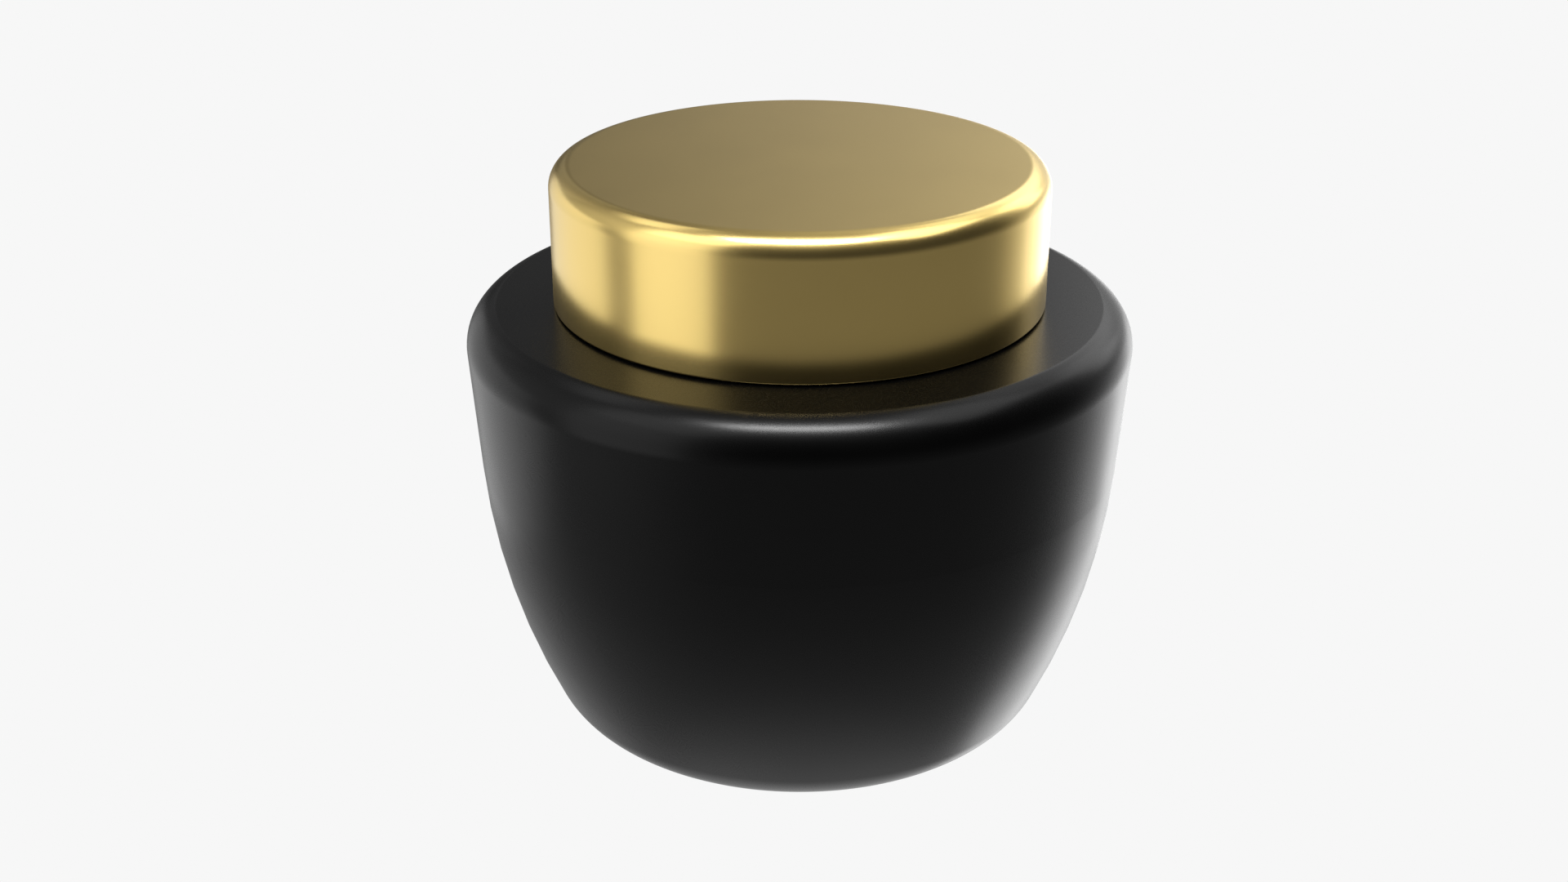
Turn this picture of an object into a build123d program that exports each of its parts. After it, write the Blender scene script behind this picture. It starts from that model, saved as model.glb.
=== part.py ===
from build123d import *

import os
from math import cos, radians, sin, tan

# Refillable cream jar, in millimetres. +Z is up and the origin is the centre of the foot.
# A thick-walled outer jar holds a lift-out cup with a threaded neck, and a metal-clad cap screws onto it.

# Outer jar, outside
jar_radius = 34.0  # the widest point, at the shoulder edge
jar_height = 45.4  # foot to flat shoulder
shoulder_lead_radius = 1.0  # the flat shoulder breaks into the large edge over this tight one
shoulder_lead_turn = 16.0
shoulder_edge_radius = 4.05
side_taper = 3.9  # degrees from vertical, narrowing downward
side_length = 12.3  # straight stretch below the shoulder edge
belly_radius = 70.8
belly_turn = 21.0  # degrees the belly arc turns before the foot curve takes over

# Outer jar, foot and mouth
foot_recess_radius = 17.0
foot_recess_depth = 0.9
foot_edge_radius = 0.4
mouth_edge_radius = 0.3
label_radius = 15.5
label_thickness = 0.15
mouth_seat_radius = 24.25
mouth_seat_depth = 1.2
bore_radius = 22.0  # at the seat
bore_floor = 5.7
bore_corner_radius = 7.0
draft = 1.0  # degrees, shared by the bore and the cup

# Cup
flange_radius = 24.0
flange_edge_radius = 0.3
cup_radius = 21.3  # outside, just under the flange
cup_bottom = 6.3
cup_floor_thickness = 1.4
cup_corner_radius = 6.5
neck_radius = 21.6
neck_bore_radius = 19.9
neck_top = 55.0
neck_rim_radius = 0.5
fill_height = 47.0  # top of the cream
fill_gap = 0.05

# Keys that stop the cup turning in the jar
key_count = 4
key_width = 3.0
key_reach = 23.4
key_length = 2.5
key_gap = 0.3

# Grip ring round the cup
ring_low = 36.5
ring_height = 1.4
ring_depth = 0.6
ring_gap = 0.05
ring_edge_radius = 0.35

# Cap
cap_radius = 25.05
cap_low = 45.55
cap_top = 59.65
cap_edge_radius = 2.2
shell_thickness = 0.6
shell_lip_radius = 0.25
weight_thickness = 1.25
weight_radius = 22.6
closure_web = 1.2
closure_gap = 0.05
closure_low = 46.1
closure_bore_radius = 22.9
closure_edge_radius = 0.6
grip_rib_count = 36
grip_rib_radius = 0.35
liner_thickness = 1.0
liner_gap = 0.3

# Sealing lid, sits on the neck's rim under the cap's liner
lid_radius = 21.3
lid_thickness = 0.6
lid_plug_depth = 2.4
lid_plug_gap = 0.09
lid_plug_wall = 1.0
lid_web = 0.8
lid_edge_radius = 0.25
tab_length = 14.0
tab_width = 1.4
tab_height = 1.8
tab_edge_radius = 0.4

# Two-start right-hand thread between neck and cap
thread_starts = 2
thread_lead = 8.0
thread_height = 0.95
thread_base = 1.8
thread_crest = 0.9
thread_low = 48.0  # centre line of the neck rib at its lower end
thread_sweep = 234.0
cap_thread_drop = 1.45  # the cap's rib runs this far below the neck's
cap_thread_begin = 25.0
cap_thread_sweep = 200.0
thread_fade = 30.0
thread_step = 6.0
thread_root = 0.3

LIFT = (Align.CENTER, Align.CENTER, Align.MIN)


def disc(radius, low, high):
    """A round plate between two heights."""
    return Pos(0, 0, low) * Cylinder(radius, high - low, align=LIFT)


def plug(top_radius, low, high, corner_radius):
    """A round plug with the shared draft, widest at the top, with a rounded lower edge."""
    foot_radius = top_radius - (high - low) * tan(radians(draft))
    cone = Pos(0, 0, low) * Cone(foot_radius, top_radius, high - low, align=LIFT)
    return fillet(cone.edges().group_by(Axis.Z)[0], corner_radius)


def rims(shape, radius, height):
    """The round edges of a shape that have a given radius and height."""
    circles = shape.edges().filter_by(GeomType.CIRCLE)
    level = circles.filter_by(lambda edge: abs(edge.arc_center.Z - height) < 0.01)
    return level.filter_by(lambda edge: abs(edge.radius - radius) < 0.01)


def thread_rib(root_radius, crest_radius, low, begin, sweep):
    """One helical rib standing on a round wall, its height fading to nothing at both ends."""
    inward = -1 if crest_radius < root_radius else 1
    buried = root_radius - inward * thread_root
    sections = []
    for step in range(round(sweep / thread_step) + 1):
        turn = step * thread_step
        from_end = min(turn, sweep - turn, thread_fade) / thread_fade
        rise = sin(radians(90 * from_end)) ** 2
        height = thread_height * rise - 0.5 * thread_root * (1 - rise)
        crest = root_radius + inward * height
        angle = radians(begin + turn)
        middle = low + thread_lead * turn / 360
        corners = [
            (buried, -thread_base / 2),
            (crest, -thread_crest / 2),
            (crest, thread_crest / 2),
            (buried, thread_base / 2),
        ]
        outline = [(r * cos(angle), r * sin(angle), middle + z) for r, z in corners]
        sections.append(Face(Wire.make_polygon(outline)))
    return loft(sections)


def thread(root_radius, crest_radius, low, begin, sweep):
    """All starts of the thread, evenly spaced round the axis."""
    rib = thread_rib(root_radius, crest_radius, low, begin, sweep)
    return [Rot(0, 0, 360 * n / thread_starts) * rib for n in range(thread_starts)]


def keys(width, reach, low, high):
    """The four blocks that key the cup to the jar, or the slots that take them."""
    block = Pos(cup_radius - 1, 0, low) * Box(
        reach - cup_radius + 1, width, high - low, align=(Align.MIN, Align.CENTER, Align.MIN)
    )
    return [Rot(0, 0, 45 + 360 * n / key_count) * block for n in range(key_count)]


def jar_outside():
    """Bowl-shaped body: flat shoulder, round edge, tapered side, belly and foot curve."""
    rise = sin(radians(shoulder_lead_turn))
    flat_radius = jar_radius - shoulder_edge_radius * (1 - rise) - shoulder_lead_radius * rise
    lead = JernArc((flat_radius, jar_height), (1, 0), shoulder_lead_radius, -shoulder_lead_turn)
    edge = JernArc(lead @ 1, lead % 1, shoulder_edge_radius, shoulder_lead_turn - 90 - side_taper)
    side = Line(edge @ 1, (edge @ 1) + (edge % 1) * side_length)
    belly = JernArc(side @ 1, side % 1, belly_radius, -belly_turn)
    lean = side_taper + belly_turn
    foot_radius = (belly @ 1).Y / (1 - sin(radians(lean)))
    foot = JernArc(belly @ 1, belly % 1, foot_radius, lean - 90)
    closing = Polyline(foot @ 1, (0, 0), (0, jar_height), lead @ 0)
    return revolve(Plane.XZ * make_face([lead, edge, side, belly, foot, closing]), Axis.Z)


def make_outer_jar():
    """Outer jar with the drafted bore, the flange seat, four key slots and the foot recess."""
    seat = jar_height - mouth_seat_depth
    body = jar_outside()
    body -= disc(mouth_seat_radius, seat, jar_height + 1)
    body -= plug(bore_radius, bore_floor, seat, bore_corner_radius)
    body -= keys(key_width + 2 * key_gap, key_reach + key_gap, seat - key_length - key_gap, jar_height)
    body -= disc(foot_recess_radius, -1, foot_recess_depth)
    body = fillet(rims(body, mouth_seat_radius, jar_height), mouth_edge_radius)
    return fillet(rims(body, foot_recess_radius, 0), foot_edge_radius)


def make_base_label():
    """Blank round label stuck in the foot recess."""
    return disc(label_radius, foot_recess_depth - label_thickness, foot_recess_depth)


def cup_inside(high, gap=0.0):
    """The space inside the cup up to a height, drawn in from the walls by a gap."""
    radius = neck_bore_radius - (neck_top - high) * tan(radians(draft))
    low = cup_bottom + cup_floor_thickness
    return plug(radius - gap, low + gap, high, cup_corner_radius - cup_floor_thickness)


def make_inner_cup():
    """Lift-out cup: flange, keys, groove for the grip ring, and the threaded neck."""
    seat = jar_height - mouth_seat_depth
    neck = disc(neck_radius, seat, neck_top)
    cup = plug(cup_radius, cup_bottom, seat, cup_corner_radius) + neck
    cup += disc(flange_radius, seat, jar_height)
    cup += keys(key_width, key_reach, seat - key_length, seat)
    cup -= cup_inside(neck_top)
    cup = fillet(cup.edges().group_by(Axis.Z)[-1], neck_rim_radius)
    cup = fillet(rims(cup, flange_radius, jar_height), flange_edge_radius)
    cup -= disc(cup_radius + 1, ring_low, ring_low + ring_height) - disc(
        cup_radius - ring_depth, ring_low, ring_low + ring_height
    )
    cup += thread(neck_radius, neck_radius + thread_height, thread_low, 0, thread_sweep)
    return cup


def make_cream():
    """Cream up to the fill height."""
    return cup_inside(fill_height, fill_gap)


def make_retention_ring():
    """Soft ring in the cup's groove, just clear of the jar's bore."""
    seat = jar_height - mouth_seat_depth
    bore_here = bore_radius - (seat - ring_low) * tan(radians(draft))
    outer = disc(bore_here - ring_gap, ring_low, ring_low + ring_height)
    outer = fillet(outer.edges().filter_by(GeomType.CIRCLE), ring_edge_radius)
    return outer - disc(cup_radius - ring_depth, ring_low, ring_low + ring_height)


def make_cap_shell():
    """Thin metal overshell of the cap with its rounded top edge."""
    outer = disc(cap_radius, cap_low, cap_top)
    outer = fillet(outer.edges().group_by(Axis.Z)[-1], cap_edge_radius)
    inner = disc(cap_radius - shell_thickness, cap_low - 1, cap_top - shell_thickness)
    inner = fillet(inner.edges().group_by(Axis.Z)[-1], cap_edge_radius - shell_thickness)
    shell = outer - inner
    return fillet(shell.edges().group_by(Axis.Z)[0], shell_lip_radius)


def make_cap_weight():
    """Steel disc under the top of the shell."""
    top = cap_top - shell_thickness
    return disc(weight_radius, top - weight_thickness, top)


def make_cap_inner():
    """Threaded closure glued inside the shell, gripped by fine ribs on its skirt."""
    top = cap_top - shell_thickness - weight_thickness
    radius = cap_radius - shell_thickness - closure_gap
    closure = disc(radius - grip_rib_radius, closure_low, top)
    closure = fillet(closure.edges().group_by(Axis.Z)[-1], closure_edge_radius)
    rib = Pos(radius - grip_rib_radius, 0, closure_low) * Cylinder(
        grip_rib_radius, top - closure_low - 1, align=LIFT
    )
    closure += [Rot(0, 0, 360 * n / grip_rib_count) * rib for n in range(grip_rib_count)]
    closure -= disc(closure_bore_radius, closure_low - 1, top - closure_web)
    closure += thread(
        closure_bore_radius,
        closure_bore_radius - thread_height,
        thread_low - cap_thread_drop + thread_lead * cap_thread_begin / 360,
        cap_thread_begin,
        cap_thread_sweep,
    )
    return closure


def make_seal_liner():
    """Foam disc between the closure and the sealing lid."""
    low = neck_top + lid_thickness
    return disc(closure_bore_radius - liner_gap, low, low + liner_thickness)


def make_inner_lid():
    """Sealing lid: rim flange, plug ring, dished web and a straight pull tab."""
    web_low = neck_top - lid_plug_depth
    plug_radius = neck_bore_radius - lid_plug_gap
    lid = disc(lid_radius, neck_top, neck_top + lid_thickness)
    lid += disc(plug_radius, web_low, neck_top)
    lid = fillet(lid.edges().group_by(Axis.Z)[0], lid_edge_radius)
    lid -= disc(plug_radius - lid_plug_wall, web_low + lid_web, neck_top + lid_thickness)
    lid = fillet(lid.edges().group_by(Axis.Z)[-1], lid_edge_radius)
    tab = Pos(0, 0, web_low + lid_web) * Box(tab_length, tab_width, tab_height, align=LIFT)
    return lid + fillet(tab.edges().group_by(Axis.Z)[-1], tab_edge_radius)


SUB_PARTS = {
    "outer_jar": make_outer_jar,
    "base_label": make_base_label,
    "inner_cup": make_inner_cup,
    "retention_ring": make_retention_ring,
    "cream": make_cream,
    "inner_lid": make_inner_lid,
    "seal_liner": make_seal_liner,
    "cap_inner": make_cap_inner,
    "cap_weight": make_cap_weight,
    "cap_shell": make_cap_shell,
}

os.makedirs("parts", exist_ok=True)
for node, make in SUB_PARTS.items():
    export_step(make(), f"parts/{node}.step")
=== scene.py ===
import math

import bmesh
import bpy
from mathutils import Matrix, Vector


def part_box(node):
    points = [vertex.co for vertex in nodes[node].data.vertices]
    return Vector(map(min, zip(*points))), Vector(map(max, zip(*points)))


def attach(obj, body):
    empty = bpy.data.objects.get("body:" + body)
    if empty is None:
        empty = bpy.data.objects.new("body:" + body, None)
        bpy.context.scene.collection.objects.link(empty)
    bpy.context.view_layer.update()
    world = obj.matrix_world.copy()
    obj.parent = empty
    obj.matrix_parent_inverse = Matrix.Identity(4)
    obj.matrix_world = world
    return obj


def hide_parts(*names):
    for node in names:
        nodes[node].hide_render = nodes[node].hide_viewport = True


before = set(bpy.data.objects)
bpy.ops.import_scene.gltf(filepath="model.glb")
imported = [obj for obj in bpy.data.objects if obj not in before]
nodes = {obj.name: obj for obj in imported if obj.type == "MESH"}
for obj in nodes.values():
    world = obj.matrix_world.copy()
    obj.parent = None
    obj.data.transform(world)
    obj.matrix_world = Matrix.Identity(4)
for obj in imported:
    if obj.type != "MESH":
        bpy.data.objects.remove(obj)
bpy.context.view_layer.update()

# Refillable cream jar. Lengths are in millimetres and angles in degrees, and meshes are scaled to metres
# when they are made.
MM = 0.001


def low(node):
    """Height of a node's underside."""
    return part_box(node)[0][2] / MM


def high(node):
    """Height of a node's top."""
    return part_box(node)[1][2] / MM


def reach(node):
    """Largest distance of a round node from the axis."""
    return max(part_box(node)[1][0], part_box(node)[1][1]) / MM


# Camera: a close studio view from a little above the shoulder
CAMERA_LENS = 46.1
CAMERA_PITCH = 24.1
CAMERA_YAW = 0.195
CAMERA_DISTANCE = 212.5
CAMERA_TARGET = (-0.93, 0, 28.86)

# Studio. A softbox has an azimuth (0 towards the camera, 90 to its right), an elevation, a width, a height
# and a radiance, and all of them stand equally far from the jar.
BACKDROP_GREY = 0.93
FLOOR_SIZE = 6000
SOFTBOX_DISTANCE = 600
SOFTBOX_AIM = (0, 0, 30)
SOFTBOXES = {
    "overhead_strip": (0, 74.5, 340, 100, 40.5),
    "left_high": (-58, 50, 400, 250, 1.4),
    "left_front": (-59, 8, 465, 750, 0.87),
    "left_back": (-124, -8, 640, 500, 0.66),
    "left_far": (-150, 25, 300, 300, 0.18),
    "left_rear": (-128, 56, 280, 140, 1.2),
    "right_high": (90, 60, 400, 300, 1.9),
    "right_edge": (130, 25, 200, 300, 1.5),
    "right_far": (154, 27, 260, 200, 1.1),
    "right_rear": (142, 52, 200, 130, 0.7),
    "right_rim": (144, -16, 160, 280, 1.1),
    "right_back": (143, -14, 480, 280, 0.5),
    "right_glance": (168, -16, 180, 280, 1.6),
    "right_low": (136, -42, 300, 280, 1.08),
}
# The room behind the softboxes: a level, and the directions it fades in along, as axis, from and to
ROOM = [
    (0.038, []),
    (0.125, [("Z", 0.1, -0.35)]),
    (0.10, [("Z", -0.3, -0.6)]),
    (0.20, [("Z", -0.5, -0.9)]),
    (0.70, [("Z", -0.85, -1.0)]),
    (0.10, [("Z", 0.45, 0.9)]),
    (0.25, [("Y", 0.0, 0.7), ("Z", -0.2, -0.6)]),
    (0.15, [("X", -0.1, 0.4), ("Y", 0.0, 0.7), ("Z", -0.2, -0.6)]),
    (0.76, [("Y", 0.1, 0.8), ("X", -0.35, 0.55)]),
    (0.10, [("X", -0.4, -0.9)]),
    (0.37, [("X", -0.35, -0.9), ("Z", -0.3, 0.5)]),
]

# Round pieces
SEGMENTS = 192
TURN_STEP = 4.0  # degrees between the points of a round corner
GUARD = 0.04  # the shading of a corner stays this close to it
SHARP_ANGLE = 32

# Outer jar
JAR_LEAD_EDGE = 1.0  # the tight start of the jar's large round edge
JAR_LEAD_TURN = 16.0
JAR_EDGE = 4.05
SIDE_TAPER = 3.9
SIDE_LENGTH = 12.3
BELLY_RADIUS = 70.8
BELLY_TURN = 21.0
FOOT_RECESS_RADIUS = 17.0
FOOT_RECESS_DEPTH = 0.9
FOOT_EDGE = 0.4
SEAT_RADIUS = 24.25
SEAT_DEPTH = 1.2
SEAT_EDGE = 0.3
BORE_RADIUS = 22.0
BORE_EDGE = 0.15
BORE_FLOOR = 5.7
BORE_CORNER = 7.0
DRAFT = 1.0
KEY_COUNT = 4
KEY_SLOT_WIDTH = 3.6
KEY_SLOT_REACH = 23.7
KEY_SLOT_DEPTH = 2.8
KEY_SLOT_START = 45  # direction of the first slot
KEY_SLOT_OVERLAP = 2  # the slots' cutters start this far inside the bore

# Cap shell
CAP_EDGE = 2.2
SHELL_THICKNESS = 0.6
LIP_EDGE = 0.25

# Liner
LINER_EDGE = 0.2
LINER_GAP = 0.02  # clear of the sealing lid under it
LINER_PRINT_TURN = 24
LINER_PRINT_RADIUS = 0.5
LINER_PRINT_WIDTH = 1.4

# Cream
CREAM_CORNER = 5.05
CREAM_DEPTH = 1.9  # the swirl's valleys lie this far below the top of the CAD fill
CREAM_RINGS = 64
FOLD_PITCH = 5.6
FOLD_HEIGHT = 1.05
FOLD_LEAN = 0.72  # below 1, a fold's crest is nearer its inner foot
FOLD_WANDER = [(0.05, 3, 0.6), (0.03, 5, 2.1)]  # share of the pitch, waves in a turn, phase in radians
FOLD_UNEVENNESS = 0.15  # half the share by which the folds are lower on their low side
FOLD_PHASE = 0.9  # in radians, and turns the low side round the axis
FOLD_BEGIN = 0.8  # the fold grows between these distances from the axis
FOLD_FULL = 4.2
FADE_BEGIN = 3.2  # and fades between these distances from the rim
FADE_END = 0.4
PEAK_HEIGHT = 1.7
PEAK_WIDTH = 2.6
MENISCUS_HEIGHT = 0.5
MENISCUS_WIDTH = 1.2

# Label
LABEL_LINE_INSET = 1.2
LABEL_LINE_WIDTH = 0.18


class Outline:
    """A profile traced like a path: x is the distance from the axis, y the height, heading 0 is outward."""

    def __init__(self, x, y, heading=0.0):
        self.points = [(x, y)]
        self.heading = heading

    def ahead(self, distance):
        x, y = self.points[-1]
        angle = math.radians(self.heading)
        return x + distance * math.cos(angle), y + distance * math.sin(angle)

    def run(self, length):
        """Straight ahead, with a guard point near each end."""
        stops = [GUARD, length - GUARD, length] if length > 3 * GUARD else [length]
        self.points += [self.ahead(stop) for stop in stops]
        return self

    def run_to(self, x=None, y=None):
        """Straight ahead as far as a distance from the axis or a height."""
        here = self.points[-1]
        angle = math.radians(self.heading)
        if x is not None:
            return self.run((x - here[0]) / math.cos(angle))
        return self.run((y - here[1]) / math.sin(angle))

    def turn(self, radius, degrees):
        """A round corner, to the left for positive degrees."""
        steps = max(2, math.ceil(abs(degrees) / TURN_STEP))
        chord = 2 * radius * math.sin(math.radians(abs(degrees) / steps / 2))
        for _ in range(steps):
            self.heading += degrees / steps / 2
            self.points.append(self.ahead(chord))
            self.heading += degrees / steps / 2
        return self

    def corner(self, degrees):
        """A sharp corner, to the left for positive degrees."""
        self.heading += degrees
        return self


def link(mesh, name):
    """A new object that shows a mesh."""
    piece = bpy.data.objects.new(name, mesh)
    bpy.context.collection.objects.link(piece)
    return piece


def lathe(name, points, lift=None):
    """A closed shape of revolution. The outline starts and ends on the axis, and the material is on its
    right. lift, if given, takes a point's number, radius and angle and returns how far it rises."""
    shape = bmesh.new()
    rings = []
    for number, (radius, height) in enumerate(points):
        on_axis = number in (0, len(points) - 1)
        ring = []
        for step in range(1 if on_axis else SEGMENTS):
            angle = 2 * math.pi * step / SEGMENTS
            rise = lift(number, radius, angle) if lift else 0
            place = (radius * math.cos(angle), radius * math.sin(angle), height + rise)
            ring.append(shape.verts.new(Vector(place) * MM))
        rings.append(ring)
    for inner, outer in zip(rings, rings[1:]):
        for step in range(SEGMENTS):
            after = (step + 1) % SEGMENTS
            corners = [inner[step % len(inner)], inner[after % len(inner)]]
            corners += [outer[after % len(outer)], outer[step % len(outer)]]
            shape.faces.new(list(dict.fromkeys(corners)))
    bmesh.ops.recalc_face_normals(shape, faces=shape.faces)
    mesh = bpy.data.meshes.new(name)
    shape.to_mesh(mesh)
    shape.free()
    smooth(mesh)
    return link(mesh, name)


def smooth(mesh):
    """Smooth shading between faces that meet at a small angle."""
    mesh.polygons.foreach_set("use_smooth", [True] * len(mesh.polygons))
    mesh.set_sharp_from_angle(angle=math.radians(SHARP_ANGLE))


def cut(piece, cutter):
    """Takes the cutter's space away from a piece, then drops the cutter."""
    boolean = piece.modifiers.new("cut", "BOOLEAN")
    boolean.operation = "DIFFERENCE"
    boolean.solver = "EXACT"
    boolean.object = cutter
    scene_state = bpy.context.evaluated_depsgraph_get()
    whole = piece.data
    piece.data = bpy.data.meshes.new_from_object(piece.evaluated_get(scene_state))
    piece.data.name = whole.name
    piece.modifiers.remove(boolean)
    bpy.data.meshes.remove(whole)
    bpy.data.meshes.remove(cutter.data)
    smooth(piece.data)


def jar_outline():
    """Bore, mouth seat, flat shoulder, round edge, tapered side, belly, foot curve and foot recess."""
    height = high("outer_jar")
    seat = height - SEAT_DEPTH
    bore_foot = BORE_RADIUS - (seat - BORE_FLOOR) * math.tan(math.radians(DRAFT))
    lean = SIDE_TAPER + BELLY_TURN
    path = Outline(0, BORE_FLOOR)
    path.run_to(x=bore_foot - BORE_CORNER * math.tan(math.radians(45 - DRAFT / 2)))
    path.turn(BORE_CORNER, 90 - DRAFT)
    path.run_to(y=seat - BORE_EDGE).turn(BORE_EDGE, DRAFT - 90)
    path.run_to(x=SEAT_RADIUS).corner(90)
    path.run_to(y=height - SEAT_EDGE).turn(SEAT_EDGE, -90)
    rise = math.sin(math.radians(JAR_LEAD_TURN))
    path.run_to(x=reach("outer_jar") - JAR_EDGE * (1 - rise) - JAR_LEAD_EDGE * rise)
    path.turn(JAR_LEAD_EDGE, -JAR_LEAD_TURN).turn(JAR_EDGE, JAR_LEAD_TURN - 90 - SIDE_TAPER)
    path.run(SIDE_LENGTH).turn(BELLY_RADIUS, -BELLY_TURN)
    foot_radius = path.points[-1][1] / (1 - math.sin(math.radians(lean)))
    path.turn(foot_radius, lean - 90)
    path.run_to(x=FOOT_RECESS_RADIUS + FOOT_EDGE).turn(FOOT_EDGE, -90)
    path.run_to(y=FOOT_RECESS_DEPTH).corner(90)
    return path.run_to(x=0).points


def key_slots():
    """Upright blocks round the mouth, which reach from the slots' floors to halfway up the seat's wall."""
    seat = high("outer_jar") - SEAT_DEPTH
    start = BORE_RADIUS - KEY_SLOT_OVERLAP
    size = Vector((KEY_SLOT_REACH - start, KEY_SLOT_WIDTH, KEY_SLOT_DEPTH + SEAT_DEPTH / 2)) * MM
    middle = Vector(((KEY_SLOT_REACH + start) / 2, 0, seat - KEY_SLOT_DEPTH / 2 + SEAT_DEPTH / 4)) * MM
    shape = bmesh.new()
    for n in range(KEY_COUNT):
        turn = Matrix.Rotation(math.radians(KEY_SLOT_START + 360 * n / KEY_COUNT), 4, "Z")
        bmesh.ops.create_cube(shape, matrix=turn @ Matrix.Translation(middle) @ Matrix.Diagonal((*size, 1)))
    mesh = bpy.data.meshes.new("key_slots")
    shape.to_mesh(mesh)
    shape.free()
    return link(mesh, "key_slots")


def make_jar():
    jar = lathe("jar_body", jar_outline())
    cut(jar, key_slots())
    jar.data.materials.append(satin_black())
    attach(jar, "jar")
    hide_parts("outer_jar")


def make_cap():
    """Drawn metal shell with a round top edge and a rolled lip."""
    radius, top, foot = reach("cap_shell"), high("cap_shell"), low("cap_shell")
    inner_edge = CAP_EDGE - SHELL_THICKNESS
    path = Outline(0, top)
    path.run_to(x=radius - CAP_EDGE).turn(CAP_EDGE, -90)
    path.run_to(y=foot + LIP_EDGE).turn(LIP_EDGE, -90)
    path.run_to(x=radius - SHELL_THICKNESS + LIP_EDGE).turn(LIP_EDGE, -90)
    path.run_to(y=top - CAP_EDGE).turn(inner_edge, 90)
    cap = lathe("cap_cover", path.run_to(x=0).points)
    cap.data.materials.append(satin_gold())
    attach(cap, "cap")
    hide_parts("cap_shell")


def make_liner():
    """Foam disc with soft edges and the ring that the neck's rim has pressed into its underside."""
    radius, top, foot = reach("seal_liner"), high("seal_liner"), low("seal_liner") + LINER_GAP
    path = Outline(0, top)
    path.run_to(x=radius - LINER_EDGE).turn(LINER_EDGE, -90)
    path.run_to(y=foot + LINER_EDGE).turn(LINER_EDGE, -90)
    path.run_to(x=reach("inner_lid"))
    path.turn(LINER_PRINT_RADIUS, -LINER_PRINT_TURN).turn(LINER_PRINT_RADIUS, LINER_PRINT_TURN)
    path.run(LINER_PRINT_WIDTH)
    path.turn(LINER_PRINT_RADIUS, LINER_PRINT_TURN).turn(LINER_PRINT_RADIUS, -LINER_PRINT_TURN)
    liner = lathe("liner_disc", path.run_to(x=0).points)
    liner.data.materials.append(liner_foam())
    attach(liner, "liner")
    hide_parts("seal_liner")


def ease(value, start, end):
    """0 before start, 1 after end, and smooth between."""
    share = min(1, max(0, (value - start) / (end - start)))
    return share * share * (3 - 2 * share)


def swirl(radius, angle, rim):
    """Height of the cream's surface above its valleys: one fold that winds in to a soft peak."""
    turns = angle / (2 * math.pi)
    wander = sum(share * math.sin(waves * angle + phase) for share, waves, phase in FOLD_WANDER)
    place = (radius / FOLD_PITCH - turns + wander) % 1
    fold = math.sin(math.pi * place ** FOLD_LEAN) ** 2
    fade = ease(radius, FOLD_BEGIN, FOLD_FULL) * (1 - ease(radius, rim - FADE_BEGIN, rim - FADE_END))
    side = 1 - FOLD_UNEVENNESS + FOLD_UNEVENNESS * math.sin(angle + FOLD_PHASE)
    peak = PEAK_HEIGHT * math.exp(-((radius / PEAK_WIDTH) ** 2))
    meniscus = MENISCUS_HEIGHT * ease(radius, rim - MENISCUS_WIDTH, rim)
    return FOLD_HEIGHT * fold * fade * side + peak + meniscus


def make_cream():
    """Cream as the filling nozzle leaves it, inside the space of the CAD fill."""
    radius, top, foot = reach("cream"), high("cream"), low("cream")
    surface = top - CREAM_DEPTH
    path = Outline(0, foot)
    foot_radius = radius - (top - foot) * math.tan(math.radians(DRAFT))
    path.run_to(x=foot_radius - CREAM_CORNER * math.tan(math.radians(45 - DRAFT / 2)))
    path.turn(CREAM_CORNER, 90 - DRAFT)
    path.run_to(y=surface)
    rim = path.points[-1][0]
    first = len(path.points) - 1
    path.points += [(rim * (1 - ring / CREAM_RINGS), surface) for ring in range(1, CREAM_RINGS + 1)]

    def lift(number, distance, angle):
        return swirl(distance, angle, rim) if number >= first else 0

    cream = lathe("cream_swirl", path.points, lift)
    cream.data.materials.append(cream_white())
    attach(cream, "pod")
    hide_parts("cream")


# Materials


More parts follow.
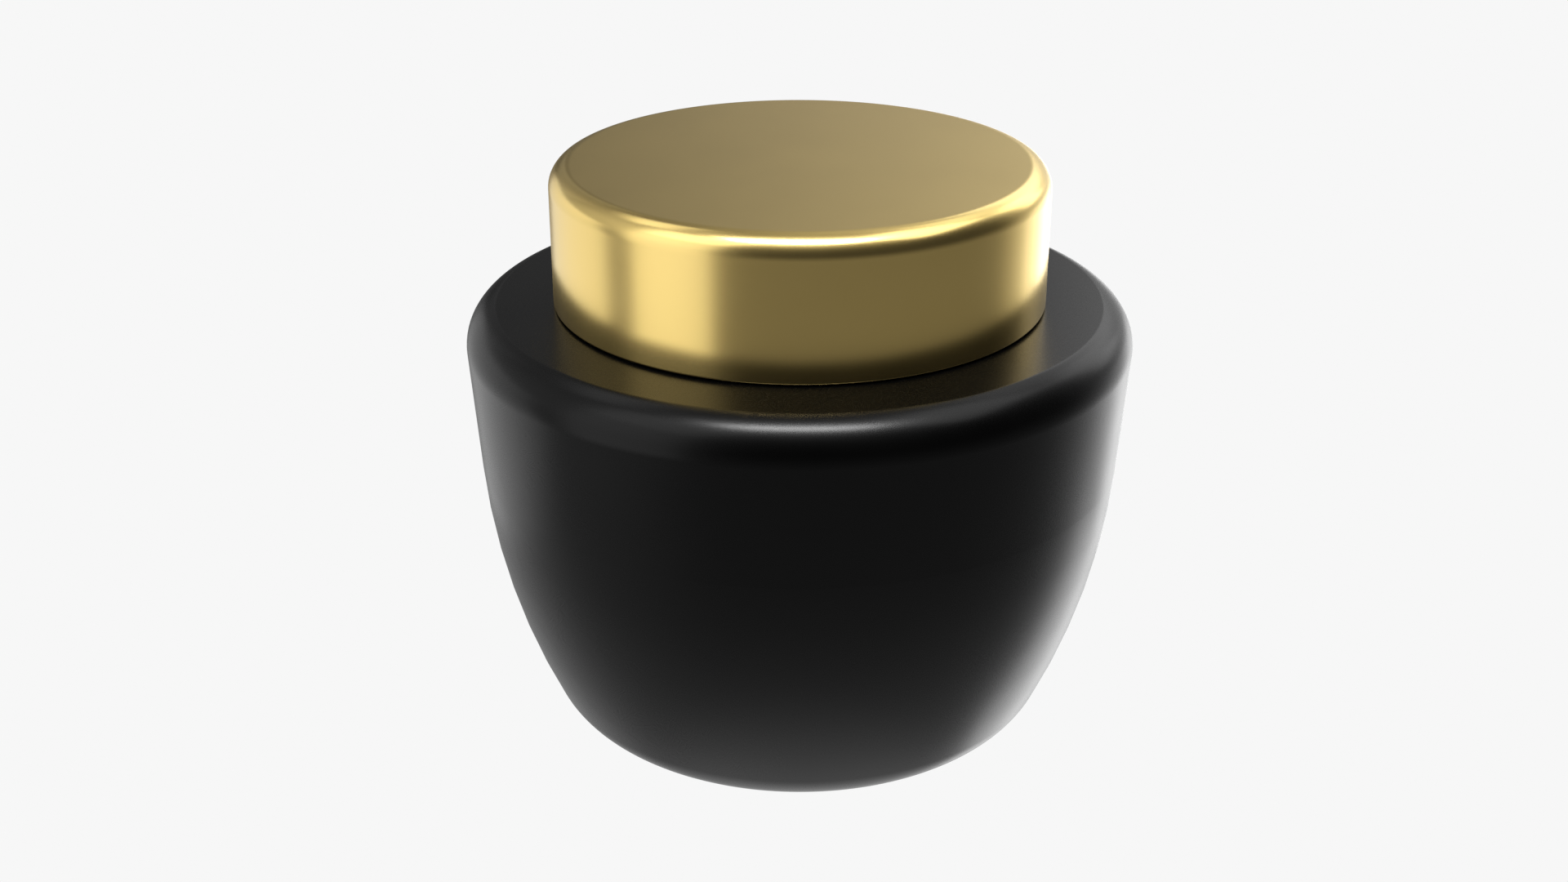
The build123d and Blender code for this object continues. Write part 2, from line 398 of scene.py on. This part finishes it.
class Finish:
    """A Principled material, with a short way to add the nodes that vary it."""

    def __init__(self, name, color, roughness, **uniform):
        self.material = bpy.data.materials.new(name)
        self.material.use_nodes = True
        self.tree = self.material.node_tree
        self.shader = self.tree.nodes["Principled BSDF"]
        self.shader.inputs["Base Color"].default_value = (*color, 1)
        self.shader.inputs["Roughness"].default_value = roughness
        for socket, value in uniform.items():
            self.shader.inputs[socket.replace("_", " ")].default_value = value
        self.place = self.tree.nodes.new("ShaderNodeTexCoord").outputs["Object"]

    def link(self, source, target):
        self.tree.links.new(source, target)

    def noise(self, size, detail=2.0, stretch=None):
        """Soft noise with features of a size in millimetres, drawn out along an axis by stretch."""
        node = self.tree.nodes.new("ShaderNodeTexNoise")
        node.inputs["Scale"].default_value = 1 / (size * MM)
        node.inputs["Detail"].default_value = detail
        place = self.place
        if stretch:
            mapping = self.tree.nodes.new("ShaderNodeMapping")
            mapping.inputs["Scale"].default_value = stretch
            self.link(place, mapping.inputs["Vector"])
            place = mapping.outputs["Vector"]
        self.link(place, node.inputs["Vector"])
        return node.outputs["Fac"]

    def cells(self, size):
        """Rounded cells of a size in millimetres."""
        node = self.tree.nodes.new("ShaderNodeTexVoronoi")
        node.inputs["Scale"].default_value = 1 / (size * MM)
        self.link(self.place, node.inputs["Vector"])
        return node.outputs["Distance"]

    def spread(self, value, start, end, low=0.3, high=0.7):
        """Maps a value between low and high to the range from start to end."""
        node = self.tree.nodes.new("ShaderNodeMapRange")
        node.inputs["From Min"].default_value = low
        node.inputs["From Max"].default_value = high
        node.inputs["To Min"].default_value = start
        node.inputs["To Max"].default_value = end
        self.link(value, node.inputs["Value"])
        return node.outputs["Result"]

    def add(self, first, second):
        node = self.tree.nodes.new("ShaderNodeMath")
        node.operation = "ADD"
        self.link(first, node.inputs[0])
        self.link(second, node.inputs[1])
        return node.outputs["Value"]

    def distance_from_axis(self):
        """Distance from the jar's axis, in metres."""
        flat = self.tree.nodes.new("ShaderNodeVectorMath")
        flat.operation = "MULTIPLY"
        flat.inputs[1].default_value = (1, 1, 0)
        self.link(self.place, flat.inputs[0])
        length = self.tree.nodes.new("ShaderNodeVectorMath")
        length.operation = "LENGTH"
        self.link(flat.outputs["Vector"], length.inputs[0])
        return length.outputs["Value"]

    def tint(self, value, start, end):
        """Colours the surface from start to end as a value goes from 0 to 1."""
        node = self.tree.nodes.new("ShaderNodeMix")
        node.data_type = "RGBA"
        node.inputs["A"].default_value = (*start, 1)
        node.inputs["B"].default_value = (*end, 1)
        self.link(value, node.inputs["Factor"])
        self.link(node.outputs["Result"], self.shader.inputs["Base Color"])

    def roughen(self, value):
        self.link(value, self.shader.inputs["Roughness"])

    def emboss(self, *layers):
        """Bumps, each a height value and its depth in millimetres."""
        normal = None
        for value, depth in layers:
            node = self.tree.nodes.new("ShaderNodeBump")
            node.inputs["Distance"].default_value = depth * MM
            self.link(value, node.inputs["Height"])
            if normal:
                self.link(normal, node.inputs["Normal"])
            normal = node.outputs["Normal"]
        self.link(normal, self.shader.inputs["Normal"])


def satin_black():
    """Satin lacquer: faint orange peel, and a grain too fine to see as more than its soft gloss."""
    finish = Finish("satin_black", (0.0009, 0.0009, 0.0009), 0.26, IOR=1.31)
    peel = finish.noise(1.6)
    grain = finish.noise(0.07, detail=1)
    cloud = finish.noise(9)
    finish.tint(finish.spread(cloud, 0, 1), (0.0007, 0.0007, 0.0007), (0.0011, 0.0011, 0.0011))
    finish.roughen(finish.add(finish.spread(cloud, 0.26, 0.275), finish.spread(grain, 0.0, 0.02)))
    finish.emboss((peel, 0.0008), (grain, 0.00008))
    return finish.material


def satin_gold():
    """Satin anodised aluminium: a fine etched grain, and slight clouding of its colour and gloss."""
    finish = Finish("satin_gold", (0.95, 0.705, 0.25), 0.25, Metallic=1)
    grain = finish.noise(0.06, detail=2)
    cloud = finish.noise(7)
    finish.tint(finish.spread(cloud, 0, 1), (0.945, 0.7, 0.246), (0.96, 0.714, 0.255))
    finish.roughen(finish.add(finish.spread(cloud, 0.225, 0.24), finish.spread(grain, 0.0, 0.02)))
    finish.emboss((grain, 0.00015))
    return finish.material


def moulded(name, color, shade, roughness, depth, **uniform):
    """Moulded plastic: slight clouding, and the fine erosion finish of its mould."""
    finish = Finish(name, color, roughness, **uniform)
    cloud = finish.noise(6, detail=3)
    spark = finish.noise(0.12, detail=3)
    finish.tint(finish.spread(cloud, 0, 1), color, shade)
    gloss = finish.spread(cloud, roughness - 0.03, roughness)
    finish.roughen(finish.add(gloss, finish.spread(spark, 0, 0.05)))
    finish.emboss((spark, depth))
    return finish.material


def cup_white():
    color, shade = (0.84, 0.84, 0.82), (0.80, 0.80, 0.785)
    glow = {"Subsurface_Weight": 0.15, "Subsurface_Scale": 0.001}
    return moulded("cup_white", color, shade, roughness=0.26, depth=0.0006, **glow)


def closure_white():
    color, shade = (0.80, 0.81, 0.80), (0.76, 0.77, 0.765)
    glow = {"Subsurface_Weight": 0.12, "Subsurface_Scale": 0.001}
    return moulded("closure_white", color, shade, roughness=0.36, depth=0.0012, **glow)


def lid_natural():
    color, shade = (0.86, 0.865, 0.84), (0.80, 0.81, 0.79)
    glow = {"Subsurface_Weight": 0.5, "Subsurface_Scale": 0.0015}
    return moulded("lid_natural", color, shade, roughness=0.34, depth=0.001, **glow)


def ring_silicone():
    color, shade = (0.70, 0.73, 0.74), (0.62, 0.65, 0.67)
    glow = {"Subsurface_Weight": 0.6, "Subsurface_Scale": 0.001}
    return moulded("ring_silicone", color, shade, roughness=0.46, depth=0.0015, **glow)


def liner_foam():
    """Closed-cell foam: small cells that dimple the skin, and painted shade that darkens the colour towards
    each cell's edge.
    """
    finish = Finish("liner_foam", (0.82, 0.82, 0.80), 0.7, Subsurface_Weight=0.2, Subsurface_Scale=0.0006)
    cells = finish.cells(0.4)
    lumps = finish.noise(1.5, detail=3)
    # painted shade: the foam's colour darkens towards the edges of its cells
    finish.tint(finish.spread(cells, 0, 1, 0.0, 0.8), (0.84, 0.84, 0.82), (0.70, 0.70, 0.68))
    finish.roughen(finish.spread(lumps, 0.62, 0.78))
    finish.emboss((lumps, 0.02), (cells, 0.03))
    return finish.material


def weight_steel():
    """Cold-rolled steel: streaks along the rolling direction and a few dull patches."""
    finish = Finish("weight_steel", (0.56, 0.57, 0.58), 0.32, Metallic=1)
    streaks = finish.noise(0.25, detail=3, stretch=(0.03, 1, 1))
    patches = finish.noise(5, detail=3)
    finish.tint(finish.spread(patches, 0, 1), (0.58, 0.59, 0.60), (0.47, 0.47, 0.47))
    finish.roughen(finish.add(finish.spread(streaks, 0.24, 0.38), finish.spread(patches, 0, 0.08)))
    finish.emboss((streaks, 0.003))
    return finish.material


def label_paper():
    """Uncoated label paper with visible fibres, and one thin printed line round its border."""
    finish = Finish("label_paper", (0.84, 0.83, 0.80), 0.82)
    fibres = finish.noise(0.3, detail=5, stretch=(0.35, 1, 1))
    paper = finish.tree.nodes.new("ShaderNodeMix")
    paper.data_type = "RGBA"
    paper.inputs["A"].default_value = (0.86, 0.85, 0.82, 1)
    paper.inputs["B"].default_value = (0.78, 0.77, 0.73, 1)
    finish.link(finish.spread(fibres, 0, 1), paper.inputs["Factor"])
    line = finish.tree.nodes.new("ShaderNodeMath")
    line.operation = "COMPARE"
    line.inputs[1].default_value = (reach("base_label") - LABEL_LINE_INSET) * MM
    line.inputs[2].default_value = LABEL_LINE_WIDTH / 2 * MM
    finish.link(finish.distance_from_axis(), line.inputs[0])
    inked = finish.tree.nodes.new("ShaderNodeMix")
    inked.data_type = "RGBA"
    inked.inputs["B"].default_value = (0.10, 0.10, 0.10, 1)
    finish.link(paper.outputs["Result"], inked.inputs["A"])
    finish.link(line.outputs["Value"], inked.inputs["Factor"])
    finish.link(inked.outputs["Result"], finish.shader.inputs["Base Color"])
    finish.roughen(finish.spread(fibres, 0.76, 0.88))
    finish.emboss((fibres, 0.012))
    return finish.material


def cream_white():
    """Rich cream: light spreads inside it, and its glossy skin has fine ripples."""
    finish = Finish(
        "cream_white",
        (0.90, 0.86, 0.79),
        0.3,
        Subsurface_Weight=1,
        Subsurface_Radius=(1.0, 0.75, 0.55),
        Subsurface_Scale=0.0018,
        Coat_Weight=0.25,
        Coat_Roughness=0.18,
    )
    cloud = finish.noise(4, detail=3)
    ripple = finish.noise(0.9, detail=4)
    finish.tint(finish.spread(cloud, 0, 1), (0.91, 0.87, 0.80), (0.88, 0.835, 0.755))
    finish.roughen(finish.spread(ripple, 0.26, 0.36))
    finish.emboss((ripple, 0.02))
    return finish.material


def paint(node, material):
    """Gives a CAD node its finished material."""
    slots = nodes[node].data.materials
    for index in range(len(slots)):
        slots[index] = material


# Camera, lights and floor


def make_camera():
    data = bpy.data.cameras.new("camera")
    data.lens = CAMERA_LENS
    camera = bpy.data.objects.new("camera", data)
    pitch = math.radians(CAMERA_PITCH)
    back = Vector((0, -math.cos(pitch), math.sin(pitch)))
    camera.location = (Vector(CAMERA_TARGET) + back * CAMERA_DISTANCE) * MM
    camera.rotation_euler = (math.pi / 2 - pitch, 0, math.radians(CAMERA_YAW))
    bpy.context.collection.objects.link(camera)
    bpy.context.scene.camera = camera


def make_softbox(name, azimuth, elevation, width, height, radiance):
    """A rectangular lamp that faces the jar."""
    azimuth, elevation = math.radians(azimuth), math.radians(elevation)
    flat = math.cos(elevation)
    out = Vector((math.sin(azimuth) * flat, -math.cos(azimuth) * flat, math.sin(elevation)))
    data = bpy.data.lights.new(name, "AREA")
    data.shape = "RECTANGLE"
    data.size = width * MM
    data.size_y = height * MM
    data.energy = radiance * data.size * data.size_y * math.pi
    lamp = bpy.data.objects.new(name, data)
    lamp.location = (Vector(SOFTBOX_AIM) + out * SOFTBOX_DISTANCE) * MM
    lamp.rotation_mode = "QUATERNION"
    lamp.rotation_quaternion = out.to_track_quat("Z", "Y")
    lamp.visible_camera = False
    bpy.context.collection.objects.link(lamp)


def fade_in(tree, direction, axis, start, end):
    """A socket that goes smoothly from 0 to 1 as the direction's part along an axis goes from start to
    end."""
    node = tree.nodes.new("ShaderNodeMapRange")
    node.interpolation_type = "SMOOTHSTEP"
    rising = end > start
    node.inputs["From Min"].default_value = min(start, end)
    node.inputs["From Max"].default_value = max(start, end)
    node.inputs["To Min"].default_value = 0 if rising else 1
    node.inputs["To Max"].default_value = 1 if rising else 0
    tree.links.new(direction.outputs[axis], node.inputs["Value"])
    return node.outputs["Result"]


def combine(tree, operation, first, second):
    """A socket with the sum or product of a socket and a socket or number."""
    node = tree.nodes.new("ShaderNodeMath")
    node.operation = operation
    tree.links.new(first, node.inputs[0])
    if isinstance(second, (int, float)):
        node.inputs[1].default_value = second
    else:
        tree.links.new(second, node.inputs[1])
    return node.outputs["Value"]


def room_level(tree):
    """Brightness of the room by direction: dim in front of the jar and on its right, and paler below,
    overhead, on the left and behind it to the right."""
    place = tree.nodes.new("ShaderNodeTexCoord")
    direction = tree.nodes.new("ShaderNodeSeparateXYZ")
    tree.links.new(place.outputs["Generated"], direction.inputs["Vector"])
    total = None
    for level, fades in ROOM:
        part = tree.nodes.new("ShaderNodeValue")
        part.outputs["Value"].default_value = level
        part = part.outputs["Value"]
        for axis, start, end in fades:
            part = combine(tree, "MULTIPLY", part, fade_in(tree, direction, axis, start, end))
        total = combine(tree, "ADD", part, total) if total else part
    return total


def make_studio():
    """A pale backdrop for the camera, and the room and softboxes for light and reflections."""
    world = bpy.data.worlds.new("studio")
    world.use_nodes = True
    bpy.context.scene.world = world
    tree = world.node_tree
    tree.nodes.clear()
    out = tree.nodes.new("ShaderNodeOutputWorld")
    mix = tree.nodes.new("ShaderNodeMixShader")
    path = tree.nodes.new("ShaderNodeLightPath")
    room = tree.nodes.new("ShaderNodeBackground")
    backdrop = tree.nodes.new("ShaderNodeBackground")
    backdrop.inputs["Color"].default_value = (BACKDROP_GREY, BACKDROP_GREY, BACKDROP_GREY, 1)
    tree.links.new(room_level(tree), room.inputs["Color"])
    tree.links.new(path.outputs["Is Camera Ray"], mix.inputs["Fac"])
    tree.links.new(room.outputs["Background"], mix.inputs[1])
    tree.links.new(backdrop.outputs["Background"], mix.inputs[2])
    tree.links.new(mix.outputs["Shader"], out.inputs["Surface"])
    for name, softbox in SOFTBOXES.items():
        make_softbox(name, *softbox)


def make_floor():
    """A plain pale floor as bright as the backdrop. The jar's light from below comes from the room."""
    half = FLOOR_SIZE / 2 * MM
    corners = [(-half, -half, 0), (half, -half, 0), (half, half, 0), (-half, half, 0)]
    mesh = bpy.data.meshes.new("floor")
    mesh.from_pydata(corners, [], [(0, 1, 2, 3)])
    floor = link(mesh, "floor")
    finish = Finish("floor_white", (0, 0, 0), 1, Specular_IOR_Level=0)
    finish.shader.inputs["Emission Color"].default_value = (BACKDROP_GREY, BACKDROP_GREY, BACKDROP_GREY, 1)
    finish.shader.inputs["Emission Strength"].default_value = 1
    mesh.materials.append(finish.material)
    floor.visible_glossy = False
    floor.visible_diffuse = False
    floor.visible_shadow = False


bpy.context.scene.view_settings.view_transform = "Standard"
make_camera()
make_studio()
make_floor()
make_jar()
make_cap()
make_liner()
make_cream()
paint("inner_cup", cup_white())
paint("cap_inner", closure_white())
paint("inner_lid", lid_natural())
paint("retention_ring", ring_silicone())
paint("cap_weight", weight_steel())
paint("base_label", label_paper())
